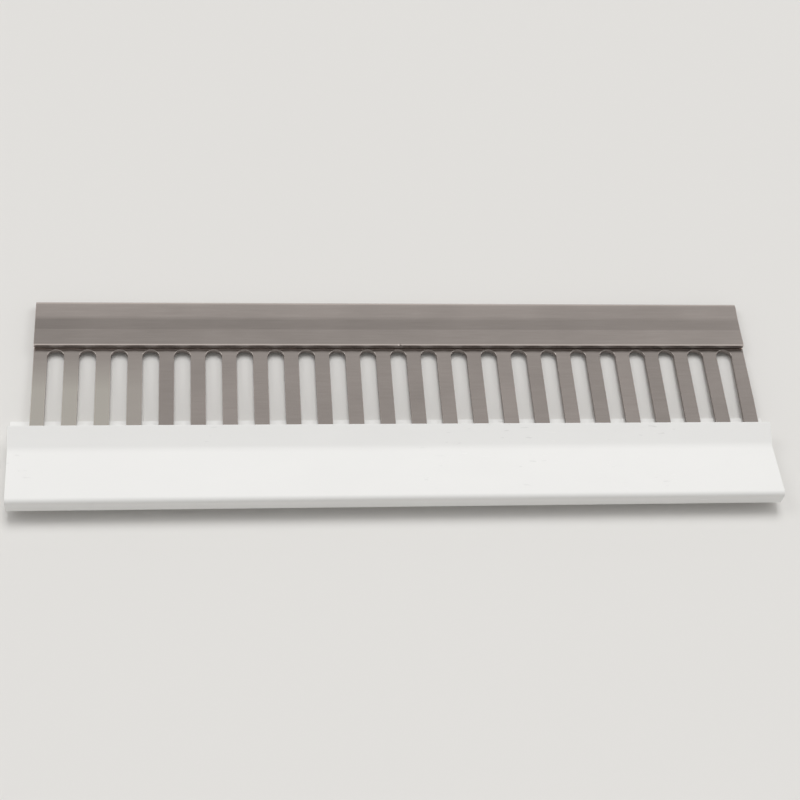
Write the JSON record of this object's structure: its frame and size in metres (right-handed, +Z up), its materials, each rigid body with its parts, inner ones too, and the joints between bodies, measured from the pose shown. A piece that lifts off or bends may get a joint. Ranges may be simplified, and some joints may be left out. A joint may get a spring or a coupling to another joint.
{
  "type": "transfer comb",
  "caption": "Folded steel sheet comb with flat prongs and eyelet tips for moving a row of knitting machine stitches, with a slip-on plastic tip guard.",
  "frame": {"origin": "middle of the footprint, on the surface that the comb lies on", "axes": "+X along the comb's row of prongs, +Y towards the folded back, -Y towards the prong tips, +Z up"},
  "size_m": [0.1212, 0.0382, 0.0044],
  "materials": {
    "steel": "satin",
    "plastic": "gloss"
  },
  "bodies": {
    "comb": {"comb": "steel"},
    "guard": {"tip_guard": "plastic"}
  },
  "joints": [
    {"name": "guard_slide", "type": "slide", "parent": "comb", "child": "guard", "axis": [0, -0.9985, 0.0544], "range_m": [0, 0.03]}
  ]
}
